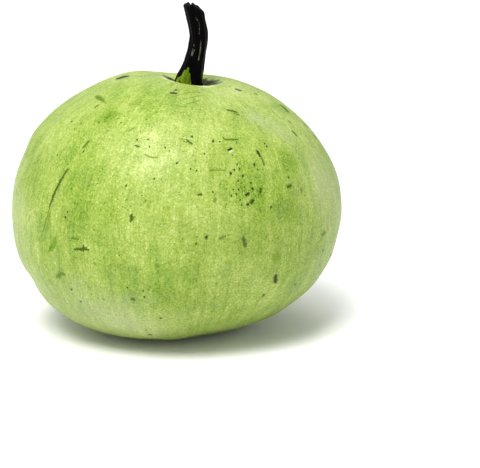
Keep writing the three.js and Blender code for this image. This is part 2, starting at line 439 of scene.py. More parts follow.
SEEN_MARKS = (
    Mark(
        "long scratch",
        ((67.5, 169.3), (62.9, 176.7), (56.6, 188.6), (52.9, 197.3), (49.4, 207)),
        1.1,
        0.68,
        0.95,
    ),
    Mark("long scratch's end", ((49.4, 207), (46.7, 219.7), (42.8, 232)), 0.7, 0.5, 0.6),
    Mark("long scratch's second line", ((51.3, 210), (48.2, 221), (45.6, 234)), 0.5, OLIVE, 0.35),
    Mark("long scratch's faint tail", ((42.8, 232), (43.2, 242)), 1.2, OLIVE, 0.3),
    Mark("bruise", ((54.8, 239), (52.6, 243.5), (50.8, 247)), 2.3, 0.26, 0.6),
    Mark("bruise's core", ((55.6, 237.4), (53.8, 242), (51, 247.5)), 0.8, 0.36, 0.85),
    Mark("bruise's right streak", ((56.4, 242), (54.4, 246), (51.6, 250.6)), 0.8, 0.32, 0.8),
    Mark("bruise's tail", ((51.5, 246), (49, 251.5)), 0.9, 0.42, 0.85),
    Mark("star scar", ((74.7, 249.4), (80, 249), (88.4, 249.8)), 0.95, 0.68, 0.95),
    Mark("star scar's ray", ((83.5, 245), (83.4, 251.4)), 0.7, DARK, 0.85),
    Mark("star scar's slant", ((80.3, 250.8), (86.6, 247.4)), 0.8, 0.6, 0.7),
    Mark("short line", ((71.4, 238.2), (74.5, 238.6), (78.6, 239.4)), 0.7, OLIVE, 0.8),
    Mark("low blotch", ((57, 277), (61, 273.3), (64.7, 274.6)), 1.5, OLIVE, 0.75),
    Mark("low blotch's foot", ((60.4, 273.6), (59.4, 278.4)), 1.1, OLIVE, 0.6),
    Mark("forked spot", ((130.7, 221.4), (131.9, 218.6), (131.6, 214.8)), 1.1, 0.68, 0.9),
    Mark("forked spot's branch", ((132.4, 219), (135, 216.4)), 0.7, 0.5, 0.6),
    Mark("curved scratch", ((144.4, 154.2), (149.3, 156.9), (153, 157.6), (156.9, 157.3)), 0.6, 0.5, 0.65),
    Mark("upper left scratch", ((88.8, 141), (86.4, 143.8), (83.2, 147.5)), 1.1, 0.55, 0.85),
    Mark("crown scratch", ((96, 96.2), (99.6, 98.2), (102.9, 100.4)), 1.7, 0.52, 0.8),
    Mark("crown scratch's tail", ((102.9, 100.4), (106.4, 103.8)), 0.7, OLIVE, 0.55),
    Mark("crown stub", ((98, 105.4), (94.8, 107.5)), 1.1, OLIVE, 0.75),
    Mark("crown ticks", ((134.2, 127.7), (130.6, 129.6), (128.6, 131)), 0.8, 0.42, 0.6),
    Mark("skyline scar", ((118.9, 78.4), (122.5, 77.2), (126, 76.3)), 3.2, BLACK, 1),
    # A painted shadow in the gap behind the lip.
    Mark("painted shadow in the gap by the lip", ((163.4, 75.2), (168, 77.6), (173, 79.8)), 1.3, BLACK, 1),
    # Painted highlights along the lip's edges.
    Mark("painted highlight on the lip's left edge", ((158, 75.9), (163, 78), (168, 80.3), (174, 82.5)), 0.4, 0.02, 0.65),
    Mark("painted highlight on the lip's right edge", ((198, 86.2), (204, 86.6), (209, 86.7), (215, 86)), 0.5, 0.02, 0.75),
    Mark("wrinkle", ((166, 97.6), (174, 96.4), (183, 94.2), (192, 92.4), (201, 92)), 0.6, 0.42, 0.5),
    Mark("second wrinkle", ((184, 99.4), (192, 97.4), (201, 95.4), (208, 95)), 0.6, 0.42, 0.5),
    Mark("third wrinkle", ((187, 104), (193, 102.6), (200, 100)), 0.8, 0.45, 0.55),
    Mark("fourth wrinkle", ((160, 92), (168, 94.4), (177, 98)), 0.5, 0.42, 0.45),
    Mark("fifth wrinkle", ((174, 105), (181, 107), (188, 106)), 0.6, 0.42, 0.4),
    Mark("lip spot", ((171.4, 93), (175.8, 93.3)), 1.5, 0.95, 1),
    Mark("lip dot", ((176, 90),), 1.4, 0.9, 0.95),
    Mark("right crown dash", ((236.2, 89.2), (240.4, 90.8)), 1.4, 0.9, 1),
    Mark("right crown ridge", ((227.6, 87.4), (233, 89.9), (241, 93.4)), 0.5, 0.04, 0.4),
    Mark("right crown dot", ((229.9, 86.4),), 1, 0.7, 0.8),
    Mark("right crown spot", ((255.8, 94),), 1.4, 0.8, 0.9),
    Mark("hooked scratch", ((227.7, 110), (232.6, 111.1), (237.2, 112.4)), 1.1, 0.7, 0.95),
    Mark("hooked scratch's end", ((235.6, 114), (238.9, 114.8)), 0.9, 0.6, 0.7),
    Mark("level scratch", ((223.4, 137.4), (225, 139.4), (230.4, 139.5), (237.9, 139.6)), 0.9, 0.55, 0.85),
    Mark("black fleck", ((228.6, 150.3), (231.3, 148.8)), 1.1, 0.95, 1),
    Mark("fleck's pale edge", ((229.6, 151.8), (232, 150.6)), 0.8, 0.07, 0.7),
    Mark("steep scratch", ((257.2, 151.1), (260.2, 156.3)), 1.1, 0.8, 0.9),
    Mark("steep scratch's tail", ((261.6, 158.4), (263.4, 161.4), (264.1, 165.2)), 0.9, 0.6, 0.75),
    Mark("faint level line", ((209.5, 170.6), (217, 170.2), (225, 170.3)), 0.8, 0.5, 0.6),
    Mark("slanting line", ((186.8, 139.9), (191.8, 144)), 0.8, 0.65, 0.85),
    Mark("slanting line's start", ((179.6, 139), (186, 139.8)), 0.8, OLIVE, 0.4),
    Mark("right scratch", ((292.5, 131), (296.7, 135.7)), 1.1, 0.62, 0.8),
    Mark("right skyline streak", ((281, 105.4), (284.6, 108), (288.2, 112)), 1.6, 0.7, 0.85),
    Mark("second skyline streak", ((303.8, 123.6), (307.2, 127)), 1.5, 0.7, 0.75),
    Mark("third skyline streak", ((314, 136), (316.4, 138.6)), 1.3, 0.55, 0.6),
    Mark("right spot", ((287.6, 187.2), (290.9, 185.4)), 1, 0.7, 0.9),
    Mark("right smudge", ((301.9, 189), (301.6, 192.4)), 1.3, OLIVE, 0.5),
    Mark("low right dash", ((253.3, 200.2), (251, 203)), 1.3, DARK, 0.95),
    Mark("low right dash's end", ((247.2, 204.8), (248.6, 204.4)), 1, 0.8, 0.9),
    Mark("low right spot", ((246, 195), (248.4, 193.8)), 1.2, 0.8, 0.95),
    Mark("low right blot", ((261, 188.6), (260.4, 193)), 1, 0.7, 0.85),
    Mark("thread", ((221.6, 181), (219.4, 187.4)), 0.7, OLIVE, 0.5),
    Mark("oval", ((198.2, 195), (201.6, 194.2)), 0.9, 0.68, 0.85),
    Mark("low oval", ((214, 202), (215.6, 198.6)), 1.2, 0.5, 0.6),
    Mark("left dash", ((28.6, 221), (29.9, 216)), 0.8, OLIVE, 0.5),
    Mark("left skyline ticks", ((15.8, 194), (16.8, 190.6)), 1.4, OLIVE, 0.55),
    Mark("small dash", ((135.4, 145.4), (138.6, 146.8)), 0.8, DARK, 0.8),
    Mark("low dash", ((93.6, 263), (95.8, 264.6)), 0.9, OLIVE, 0.6),
    Mark("bottom spot", ((131.6, 299), (134.4, 299.7)), 1.3, 0.65, 0.7),
    Mark("red thread", ((47.6, 193.6), (47, 203.6)), 0.7, 0.45, 0.3),
)

# Round specks: where each is in the photograph, across and down, and how many millimetres it
# measures, of which its dark core takes a share.
SPECK_CORE = 0.8
DARK_SPECKS = (
    (65.3, 217.2, 1.2), (67.5, 212, 0.9), (71.6, 289.4, 1.2), (80.9, 302, 1), (126.2, 185.7, 1.1),
    (71.6, 121.6, 1.1), (74.6, 129.2, 0.9), (83.7, 151.4, 0.9), (98.8, 122.4, 1), (137.2, 139.9, 0.9),
    (148, 139.4, 0.7), (149.6, 146.5, 0.7), (165.4, 147.8, 0.8), (169.4, 150.5, 0.6), (192.2, 136.6, 1.2),
    (177, 163.4, 1), (190.8, 168.8, 0.8), (196.7, 170.5, 1.1), (154.2, 178.8, 0.9), (204.5, 153.9, 0.9),
    (213.4, 141, 1.2), (219.9, 141.8, 0.8), (236.8, 142, 0.8), (264.8, 143.5, 1), (266.8, 146.7, 1.1),
    (234.5, 170, 1.2), (230.8, 173.4, 1.5), (237.5, 164.4, 1), (239.8, 168.9, 1), (243.1, 175.9, 1.3),
    (254.5, 164.6, 1.4), (257.6, 169.4, 0.8), (262.8, 169.6, 0.7), (238.4, 180.9, 1), (250.9, 183, 0.9),
    (252.7, 188.8, 1.4), (233.5, 189.5, 0.8), (238.8, 189.6, 0.8), (231.6, 195.6, 0.9), (240.2, 199.8, 0.9),
    (212.9, 192, 0.9), (288.8, 177.2, 1), (271.2, 207.2, 1.1), (127.5, 287.8, 1), (143.3, 290.8, 0.8),
    (144.6, 297, 1), (121, 122.5, 0.8), (57.3, 155, 0.8), (234.4, 113.8, 0.7), (119.5, 255.7, 0.6),
    (236.6, 194.6, 0.7), (244.4, 187.2, 0.7), (227.2, 184.6, 0.6), (247, 199.6, 0.7), (241.8, 205, 0.8),
)
GREEN_SPECKS = (
    (81.4, 123.6, 1.4), (71.6, 188.4, 1.1), (113.5, 209.8, 0.9), (110.7, 214.8, 0.9), (146.8, 330, 1),
    (156.5, 112, 1), (205.5, 114, 1), (200.5, 110, 0.9), (222.6, 90.5, 0.8), (285.2, 142, 1.1),
    (126, 200, 0.9), (145.6, 201, 0.9), (104.4, 203, 0.9), (289.6, 121.8, 1.8), (283.6, 118.6, 1.4),
)
# Both kinds of specks, with the tone and the strength of each.
SPECK_KINDS = ((DARK_SPECKS, 0.84, 0.85), (GREEN_SPECKS, OLIVE, 0.7))
# A speck is a very short stroke, square to the skin's normal and to this axis.
DOT_LENGTH = 0.05 * MM
DOT_AXIS = (0.3, 0.2, 1.0)

# Soft patches of colour, each round: where, its radius in millimetres, and how green, how hazy
# and how finely speckled it makes the skin.
Patch = namedtuple("Patch", "name place radius green haze specks")
SEEN_PATCHES = (
    # A painted highlight, broad and soft.
    Patch("painted highlight", (158, 150), 15, -0.5, 0.15, 0),
    # Painted shade on the right side, a little grey.
    Patch("painted shade on the dull right", (330, 185), 16, 0.2, 0.1, 0),
    Patch("pale upper left", (98, 112), 15, -0.12, 0, 0),
    # Painted shade low on the belly; the lower of the two is a painted shadow.
    Patch("painted shade on the belly", (122, 262), 24, 0.3, 0, 0),
    Patch("painted shadow low in the middle", (150, 292), 15, 0.4, 0.15, 0),
    Patch("deeper upper left", (66, 150), 16, 0.14, 0, 0),
    Patch("deeper left", (70, 205), 20, 0.15, -0.1, 0),
    Patch("vivid spot", (108.5, 117), 6, 1, -0.2, 0.5),
    Patch("vivid spot's tail", (100, 123), 5, 0.25, 0, 0.4),
    Patch("fresh crown", (145, 104), 17, 0.22, -0.3, 0),
    Patch("green by the lip", (172, 108), 11, 0.15, 0, 0.1),
    Patch("green belly", (138, 214), 12, 0.2, 0, 0.3),
    Patch("green belly's speckles", (113, 204), 6, 0.2, 0, 0.8),
    Patch("left streaks", (80, 215), 12, 0.1, 0, 0.1),
    Patch("orange tint", (67, 130), 4, -0.1, 0, 0.3),
    Patch("speckled crown", (149, 141), 7, -0.12, 0, 0.9),
    Patch("speckled middle", (192, 151), 9, -0.05, 0, 0.8),
    Patch("speckled right", (240, 192), 10, 0.2, 0, 1.2),
    Patch("green right", (268, 188), 15, 0.35, 0, 0.2),
    Patch("green over the scratch", (244, 158), 9, 0.2, 0, 0.2),
    Patch("grey haze", (254, 118), 7, -0.05, 0.75, 0),
    Patch("second grey haze", (282, 132), 8, -0.05, 0.75, 0.2),
    Patch("haze speckles", (265, 121), 5, 0, 0.3, 1),
    Patch("green on the skyline", (279, 108), 5, 0.6, -0.3, 0.4),
    Patch("green streak", (284, 156), 4, 0.6, -0.3, 0.6),
    Patch("green streak's foot", (291, 167), 5, 0.5, -0.2, 0.5),
    # At the edges the grey is partly bloom and partly painted sheen.
    Patch("right edge bloom and painted sheen", (322, 180), 17, -0.1, 0.9, 0),
    Patch("left edge bloom and painted sheen", (22, 205), 9, 0, 0.35, 0.1),
    # Near the bottom the grey is partly bloom and partly painted light from the floor.
    Patch("painted floor bounce with bloom at the bottom", (85, 310), 20, -0.2, 0.7, 0.2),
    Patch("lower painted floor bounce with bloom", (135, 325), 18, -0.2, 0.8, 0.2),
    Patch("low speckles", (76, 294), 6, 0, 0.2, 0.8),
    Patch("pale by the lip", (225, 95), 12, -0.25, 0.2, 0),
    Patch("pale left crown", (75, 100), 12, -0.1, 0.1, 0),
)


def smooth_path(places):
    """Places about one step apart on a smooth curve through the given ones."""
    places = np.array(places, float)
    if len(places) == 1:
        return places
    ends = np.vstack([2 * places[0] - places[1], places, 2 * places[-1] - places[-2]])
    curve = [places[:1]]
    for before, start, end, after in zip(ends, ends[1:], ends[2:], ends[3:]):
        count = max(1, math.ceil(np.linalg.norm(end - start) / MARK_STEP))
        t = (np.arange(count)[:, None] + 1) / count
        bend = 2 * before - 5 * start + 4 * end - after
        swing = 3 * start - before - 3 * end + after
        curve.append((2 * start + (end - before) * t + bend * t**2 + swing * t**3) / 2)
    return np.vstack(curve)


class Skin:
    """The skin's points, and where the photograph's places lie on it."""

    def __init__(self, mesh, camera):
        self.points = mesh_points(mesh)
        self.normals = mesh_normals(mesh)
        faces = [tuple(face.vertices) for face in mesh.polygons]
        self.tree = BVHTree.FromPolygons(self.points.tolist(), faces)
        self.camera = camera

    def at(self, place):
        """The point that a place in the photograph shows, or else the next one towards the middle."""
        place = np.array(place, float)
        inward = np.array(FRUIT_CENTRE_IN_PHOTO) - place
        inward /= np.linalg.norm(inward)
        hit = None
        while hit is None:
            hit = self.tree.ray_cast(self.camera.location, photo_ray(place))[0]
            place += inward / 4
        return np.array(hit)

    def path(self, places):
        """Points on the skin along a path in the photograph."""
        return self.lengthened(np.array([self.at(place) for place in smooth_path(places)]))

    def lengthened(self, path):
        """A path with at least two points: a single one gets a second beside it."""
        if len(path) > 1:
            return path
        normal = self.normals[np.argmin(np.linalg.norm(self.points - path[0], axis=1))]
        beside = np.cross(normal, DOT_AXIS)
        return np.array([path[0], path[0] + beside / np.linalg.norm(beside) * DOT_LENGTH])

    def measure(self, path, near):
        """How far some of the skin's points are across a path, and along it from its middle."""
        points, normals = self.points[near], self.normals[near]
        lengths = np.linalg.norm(np.diff(path, axis=0), axis=1)
        total = lengths.sum()
        nearest = np.full(len(points), np.inf)
        across, along = np.zeros(len(points)), np.zeros(len(points))
        start = 0
        for number, (a, b, length) in enumerate(zip(path, path[1:], lengths)):
            tangent = (b - a) / length
            run = (points - a) @ tangent
            low = -np.inf if number == 0 else 0
            high = np.inf if number == len(lengths) - 1 else length
            run = np.clip(run, low, high)
            offset = points - (a + run[:, None] * tangent)
            distance = np.linalg.norm(offset, axis=1)
            side = (np.cross(normals, tangent) * offset).sum(axis=1)
            closer = distance < nearest
            nearest = np.where(closer, distance, nearest)
            across = np.where(closer, side, across)
            along = np.where(closer, start + run - total / 2, along)
            start += length
        return across, along, total / 2


class MarkLayers:
    """Marks laid over the skin so that no two in one layer come near each other."""

    def __init__(self, skin):
        self.skin = skin
        self.places = np.zeros((MARK_LAYERS, len(skin.points), 3))
        self.looks = np.zeros((MARK_LAYERS, len(skin.points), 3))

    def lay(self, path, width, tone, strength):
        half_width = width / 2 * MARK_WIDENING
        rim = half_width * (1 + MARK_SOFTNESS) + FACE_SPAN
        middle = path.mean(axis=0)
        reach = np.linalg.norm(path - middle, axis=1).max() + rim + FACE_SPAN
        near = np.flatnonzero(np.linalg.norm(self.skin.points - middle, axis=1) < reach)
        across, along, half_length = self.skin.measure(path, near)
        off = np.hypot(across, np.maximum(np.abs(along) - half_length, 0))
        owned = off < rim
        guarded = near[off < rim + FACE_SPAN]
        for places, looks in zip(self.places, self.looks):
            if not looks[guarded, 0].any():
                rows = np.stack([across, along, np.full_like(along, half_length)], axis=1)
                places[near[owned]] = rows[owned]
                looks[near[owned]] = (half_width, tone, strength)
                return

    def store(self, mesh):
        for number in range(MARK_LAYERS):
            store_numbers(mesh, f"place_{number}", self.places[number] / MM)
            store_numbers(mesh, f"look_{number}", self.looks[number] / (MM, 1, 1))


# Marks on the sides that the photograph doesn't show, drawn at random and alike in kind.
UNSEEN_SEED = 11
UNSEEN_MARKS = (
    # how many, least and most length, least and most width, least and most tone, strength
    (14, (4, 16), (0.6, 1.1), (0.5, 0.8), 0.8),
    (26, (1.5, 5), (0.8, 1.6), (0.5, 0.9), 0.8),
    (110, (0, 0.6), (0.7, 1.5), (0.55, 0.95), 0.85),
    (9, (2, 5), (2.2, 3.6), (0.28, 0.45), 0.6),
)
# How their strength varies, how much they bend, how far apart their points are, and the length
# below which one is a dot.
UNSEEN_STRENGTH_RANGE = (0.7, 1.1)
UNSEEN_BEND = 0.25
UNSEEN_STEP = 3 * MM
LONGEST_DOT = 0.5 * MM
# The near part of the fruit that the photograph doesn't show: an ellipse in its pixels.
COVERED_CENTRE = np.array((303, 328))
COVERED_RADII = np.array((155, 123))


def unseen(skin, point, normal):
    towards = np.array(skin.camera.location) - point
    if normal @ towards < 0:
        return True
    place = photo_places(point[None], skin.camera)[0]
    return np.linalg.norm((place - COVERED_CENTRE) / COVERED_RADII) < 1


def unseen_spots(skin, rng):
    """Random places on the skin that the photograph doesn't show, spread evenly by area."""
    top = 2 * HALF_HEIGHT
    while True:
        direction = rng.normal(size=3)
        direction /= np.linalg.norm(direction)
        start = Vector((0, 0, HALF_HEIGHT)) + Vector(direction) * 2 * BELLY_RADIUS
        hit, normal, _, _ = skin.tree.ray_cast(start, -Vector(direction))
        point, normal = np.array(hit), np.array(normal)
        if RELIEF_START < point[2] < top and unseen(skin, point, normal):
            yield point, normal


def lay_unseen_marks(layers):
    skin = layers.skin
    rng = np.random.default_rng(UNSEEN_SEED)
    spots = unseen_spots(skin, rng)
    for count, lengths, widths, tones, strength in UNSEEN_MARKS:
        for _ in range(count):
            point, normal = next(spots)
            heading = np.cross(normal, rng.normal(size=3))
            heading /= np.linalg.norm(heading)
            sideways = np.cross(normal, heading)
            length, width = rng.uniform(*lengths) * MM, rng.uniform(*widths) * MM
            bend = rng.uniform(-UNSEEN_BEND, UNSEEN_BEND)
            steps = np.linspace(-0.5, 0.5, 2 + math.ceil(length / UNSEEN_STEP))
            path = []
            for step in steps:
                place = point + (heading * step + sideways * bend * step**2) * length
                path.append(np.array(skin.tree.find_nearest(Vector(place))[0]))
            if length < LONGEST_DOT:
                path = skin.lengthened(np.array(path[:1]))
            tone = rng.uniform(*tones)
            layers.lay(np.array(path), width, tone, strength * rng.uniform(*UNSEEN_STRENGTH_RANGE))


def lay_seen_marks(layers):
    for mark in SEEN_MARKS:
        layers.lay(layers.skin.path(mark.path), mark.width * MM, mark.tone, mark.strength)
    for specks, tone, strength in SPECK_KINDS:
        for across, down, size in specks:
            layers.lay(layers.skin.path(((across, down),)), size * SPECK_CORE * MM, tone, strength)


# Patches on the unseen sides: the least and most green, haze and specks, and their radii.
UNSEEN_PATCH_SEED = 23
UNSEEN_PATCHES = 46
UNSEEN_LEAST = (-0.25, -0.2, 0)
UNSEEN_MOST = (0.45, 0.35, 0.9)
UNSEEN_RADII = (5, 18)


def skin_tints(skin):
    """How green, how hazy and how finely speckled the skin is at each of its points."""
    patches = [(skin.at(patch.place), patch) for patch in SEEN_PATCHES]
    rng = np.random.default_rng(UNSEEN_PATCH_SEED)
    spots = unseen_spots(skin, rng)
    for _ in range(UNSEEN_PATCHES):
        green, haze, specks = rng.uniform(UNSEEN_LEAST, UNSEEN_MOST)
        look = Patch("unseen patch", None, rng.uniform(*UNSEEN_RADII), green, haze, specks)
        patches.append((next(spots)[0], look))
    tints = np.zeros((len(skin.points), 3))
    for centre, patch in patches:
        share = bell(np.linalg.norm(skin.points - centre, axis=1), patch.radius * MM)
        tints += share[:, None] * (patch.green, patch.haze, patch.specks)
    return tints


# The fruit: its mesh, and the numbers that its finish reads. Streaks are drawn out by this much
# from pole to pole.
MERIDIAN_STRETCH = 4.5


def build_fruit():
    fraction = np.linspace(0, 1, FRUIT_RINGS + 1)
    latitude = (fraction - FRUIT_CROWDING * np.sin(TURN * fraction) / TURN - 0.5) * math.pi
    azimuth = np.arange(FRUIT_AROUND) * TURN / FRUIT_AROUND
    latitudes, azimuths = np.meshgrid(latitude[1:-1], azimuth, indexing="ij")
    rings, radii = skin_points(latitudes, azimuths)
    poles, _ = skin_points(latitude[[0, -1]], np.zeros(2))
    mesh = ringed_mesh("gourd_fruit", rings, poles[0], poles[1])
    radius = np.concatenate([[0], radii.ravel(), [0]])
    turn = np.concatenate([[0], azimuths.ravel(), [0]])
    plain = mesh_points(mesh)
    relief = skin_relief(plain, radius, turn)
    middle = (np.array(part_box("fruit")[0]) + np.array(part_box("fruit")[1])) / 2
    centre = middle - (plain.min(axis=0) + plain.max(axis=0)) / 2
    centre[2] = HALF_HEIGHT - REST_FLATTENING
    move_points(mesh, plain + mesh_normals(mesh) * relief[:, None] + centre)
    upper = smooth_step(0, HALF_HEIGHT / 2, plain[:, 2])
    under = 1 - smooth_step(-HALF_HEIGHT, -HALF_HEIGHT / 2, plain[:, 2])
    # Painted shade, with some stain, darkens the cavity and reaches furthest up its right wall.
    stain_and_shade_reach = STAIN_AND_SHADE_REACH + STAIN_AND_SHADE_GROWTH * bell(turned(turn, STAIN_AND_SHADE_AZIMUTH), STAIN_AND_SHADE_SPREAD)
    stain_and_shade = (1 - smooth_step(STAIN_AND_SHADE_CORE * stain_and_shade_reach, stain_and_shade_reach, radius)) * upper
    # A painted highlight along the cavity's lip, strongest at the front.
    front = bell(turned(turn, LIP_AZIMUTH), LIP_SPREAD)
    rim = bell(radius - LIP_RADIUS, LIP_WIDTH) * upper * mix(LIP_BEHIND, 1, front)
    scar = (1 - smooth_step(*CORK_FADE, radius / SCAR_RADIUS)) * under
    store_numbers(mesh, "crown", np.stack([stain_and_shade, rim, scar], axis=1))
    ring_number = np.concatenate([[0], np.repeat(np.arange(1, FRUIT_RINGS), FRUIT_AROUND), [FRUIT_RINGS]])
    arc = ring_number / FRUIT_RINGS * math.pi * HALF_HEIGHT / MERIDIAN_STRETCH
    streaks = np.stack([np.cos(turn) * BELLY_RADIUS, np.sin(turn) * BELLY_RADIUS, arc], axis=1)
    store_numbers(mesh, "meridian", streaks)
    return mesh, centre


# The stem.


def stem_line(along):
    """Places on the stem's centre line, as (right, height), and the direction of the line there."""
    start, pull, draw, end = (np.array(point) for point in STEM_LINE)
    t = along[:, None]
    place = (1 - t) ** 3 * start + 3 * (1 - t) ** 2 * t * pull + 3 * (1 - t) * t**2 * draw + t**3 * end
    heading = (1 - t) ** 2 * (pull - start) + 2 * (1 - t) * t * (draw - pull) + t**2 * (end - draw)
    return place, heading / np.linalg.norm(heading, axis=1)[:, None]


def stem_radius(fraction, azimuth):
    height = fraction * STEM_LINE[3][1]
    ridge = np.cos(STEM_RIDGES * (azimuth - STEM_RIDGE_AZIMUTH) + STEM_TWIST * fraction)
    swell = STEM_SWELL * (1 - smooth_step(0, STEM_SWELL_END, fraction))
    flare = (STEM_FOOT_RADIUS - STEM_RADIUS - STEM_SWELL) * (1 + STEM_ROOT_SPREAD * ridge)
    spread = flare * np.exp(-height / STEM_FLARE_HEIGHT)
    return STEM_RADIUS + swell + spread + STEM_RIDGE_DEPTH * ridge


def stem_texture(fraction, azimuth):
    """The fine ribs and the shrunken skin of the dried stem."""
    height = fraction * STEM_LINE[3][1]
    around = np.stack([np.cos(azimuth), np.sin(azimuth), np.zeros_like(azimuth)], axis=-1) * STEM_RADIUS
    wander, creases, knots = (
        ripples(around + height[..., None] * (0, 0, rise), grain, seed)
        for rise, grain, seed in (RIB_FIELD, CREASE_FIELD, KNOT_FIELD)
    )
    ribs = np.cos(STEM_RIBS * azimuth + STEM_RIB_WANDER * wander + STEM_RIB_TWIST * fraction)
    return STEM_RIB_DEPTH * ribs + STEM_CREASE_DEPTH * creases + STEM_KNOT_HEIGHT * knots


# What the photograph shows on the stem: the places along each stroke, and its half width in millimetres.
# Pale streaks on the black stem: partly scuffed wear, partly painted highlights.
STEM_SCUFFS_AND_HIGHLIGHTS = (
    (((200.8, 41), (200.2, 50), (198.6, 60)), 0.42),
    (((193.6, 44.5), (194.2, 46)), 0.4),
    (((192.8, 49), (191.8, 55)), 0.62),
    (((194.6, 50), (192.4, 54)), 0.4),
    (((195.4, 17.5), (198.6, 22), (199.6, 27)), 0.24),
    (((199.4, 28), (199.2, 34)), 0.2),
)
STEM_GREENS = (
    (((188, 68.5), (187.4, 72), (186.8, 78)), 0.85),
    (((185.4, 72.5), (181.8, 77), (177.8, 80.5)), 1.7),
    (((187.6, 75), (187.8, 80), (188, 84)), 1.9),
    (((182, 79), (184, 83)), 1.7),
    (((202.4, 72), (202.4, 83)), 0.55),
)
# How far below and above the green's edge, in millimetres, a stroke's outside and its middle lie.
SEEN_GREEN_RANGE = (-4, 3.4)
# Where a stroke begins to fade, and where it ends, in shares of its half width.
STROKE_FADE = (0.3, 1.4)
# How high the stem is green all round, and where it is green higher up: azimuth, height, spread.
STEM_GREEN_HEIGHT = 1.2 * MM
STEM_GREEN_RISES = ((math.radians(60), 7 * MM, 0.5), (math.radians(130), 5 * MM, 0.5))


def stroke_mask(skin, strokes):
    """How far inside any of the photograph's strokes each point lies: 1 in the middle, 0 outside."""
    mask = np.zeros(len(skin.points))
    for places, half_width in strokes:
        path = skin.path(places)
        for start, end in zip(path, path[1:]):
            run = np.clip((skin.points - start) @ (end - start) / ((end - start) @ (end - start)), 0, 1)
            off = np.linalg.norm(skin.points - start - run[:, None] * (end - start), axis=1)
            mask = np.maximum(mask, 1 - smooth_step(*STROKE_FADE, off / (half_width * MM)))
    return mask


def stem_green_height(azimuth):
    """How high the stem is still green over the cavity's floor: more along some of its ridges."""
    green = STEM_GREEN_HEIGHT
    for towards, height, spread in STEM_GREEN_RISES:
        green = green + height * np.maximum(1 - np.abs(turned(azimuth, towards)) / spread, 0)
    return green


def build_stem(centre, camera):
    along = np.linspace(0, 1, STEM_RINGS + 1) ** STEM_CROWDING
    places, headings = stem_line(along)
    azimuth = np.arange(STEM_AROUND) * TURN / STEM_AROUND
    fraction = places[:, 1] / STEM_LINE[3][1]
    floor = cavity_height(np.array(STEM_LINE[0][0]), np.array(0.0)) + STEM_GAP
    seating = (1 - smooth_step(0, STEM_SEAT_END, fraction))[:, None]
    cutting = smooth_step(STEM_CUT_START, 1, fraction)[:, None]
    fractions, azimuths = np.meshgrid(fraction, azimuth, indexing="ij")
    radius = stem_radius(fractions, azimuths) + stem_texture(fractions, azimuths)
    radius -= STEM_END_ROUNDING * smooth_step(STEM_ROUNDED_FROM, 1, fractions) ** 2
    side = radius * np.cos(azimuths)
    cut_away = cutting * (STEM_CUT_SLANT * side + STEM_CUT_BEVEL * np.maximum(side, 0))
    x = places[:, :1] + side * mix(headings[:, 1:], 1, seating) - cut_away * headings[:, :1]
    y = radius * np.sin(azimuths)
    free = floor + places[:, 1:] - side * headings[:, :1] - cut_away * headings[:, 1:]
    seated = cavity_height(x, y) + STEM_GAP
    around = np.stack([np.cos(azimuths), np.sin(azimuths), 0 * azimuths], axis=-1)
    notch = STEM_NOTCH_DEPTH * bell(side - STEM_NOTCH_SIDE, STEM_NOTCH_WIDTH)
    ragged = STEM_RAGGEDNESS * ripples(around, STEM_RAGGED_GRAIN, seed=34) - notch
    ragged = ragged * smooth_step(STEM_RAGGED_FROM, 1, fractions)
    sunk = (STEM_GAP + STEM_SINK) * (1 - smooth_step(0, STEM_SINK_END, fractions))
    rings = np.stack([x, y, mix(free + ragged, seated, seating) - sunk], axis=-1)
    end_centre = np.array([places[-1, 0], 0, floor + places[-1, 1]])
    end_rings = []
    for number in range(1, STEM_END_RINGS):
        share = 1 - number / STEM_END_RINGS
        ring = end_centre + (rings[-1] - end_centre) * share
        ring[:, 2] -= STEM_CUT_HOLLOW * (1 - share**2) * smooth_step(0, PITH_RIM, 1 - share)
        ring[:, 2] += PITH_ROUGHNESS * ripples(ring, PITH_GRAIN, seed=35)
        end_rings.append(ring)
    rings = np.concatenate([rings, end_rings])
    tip = end_centre - (0, 0, STEM_CUT_HOLLOW)
    foot = np.array([STEM_LINE[0][0], 0, floor - STEM_GAP - STEM_SINK])
    mesh = ringed_mesh("gourd_stem", rings + centre, foot + centre, tip + centre)

    def padded(numbers, at_foot, at_tip):
        ending = np.broadcast_to(at_tip, (STEM_END_RINGS - 1, STEM_AROUND))
        return np.concatenate([[at_foot], np.concatenate([numbers, ending]).ravel(), [at_tip]])

    height = fractions * STEM_LINE[3][1]
    skin = Skin(mesh, camera)
    green = padded(stem_green_height(azimuths) - height, 0, -STEM_LINE[3][1]) / MM
    green = np.maximum(green, mix(*SEEN_GREEN_RANGE, stroke_mask(skin, STEM_GREENS)))
    cut = padded(smooth_step(PITH_FROM, 1, fractions), 0, 1)
    store_numbers(mesh, "growth", np.stack([green, cut, stroke_mask(skin, STEM_SCUFFS_AND_HIGHLIGHTS)], axis=1))
    end_azimuth = np.broadcast_to(azimuth, (STEM_END_RINGS - 1, STEM_AROUND))
    turn = np.concatenate([[0], azimuths.ravel(), end_azimuth.ravel(), [0]])
    rise = padded(height, 0, STEM_LINE[3][1]) * FIBRE_RISE
    fibres = np.stack([np.cos(turn) * STEM_RADIUS, np.sin(turn) * STEM_RADIUS, rise], axis=1)
    store_numbers(mesh, "fibre", fibres)
    return mesh


# Finishes.

# The finest specks: their least radius, how much more it can be and how wide their soft edge is,
# in shares of the size asked for, and the range of chance in which one shows only in part.
SPECK_LEAST = 0.5
SPECK_VARIETY = 0.6
SPECK_EDGE = 0.5
SPECK_DOUBT = 0.05
# What keeps a division from being by zero where there is no mark, in millimetres.
TINY = 0.0001


def colour(red, green, blue):
    """A colour given by its screen values, for a shader."""

    def linear(value):
        share = value / 255
        return share / 12.92 if share <= 0.04045 else ((share + 0.055) / 1.055) ** 2.4

    return (linear(red), linear(green), linear(blue), 1)


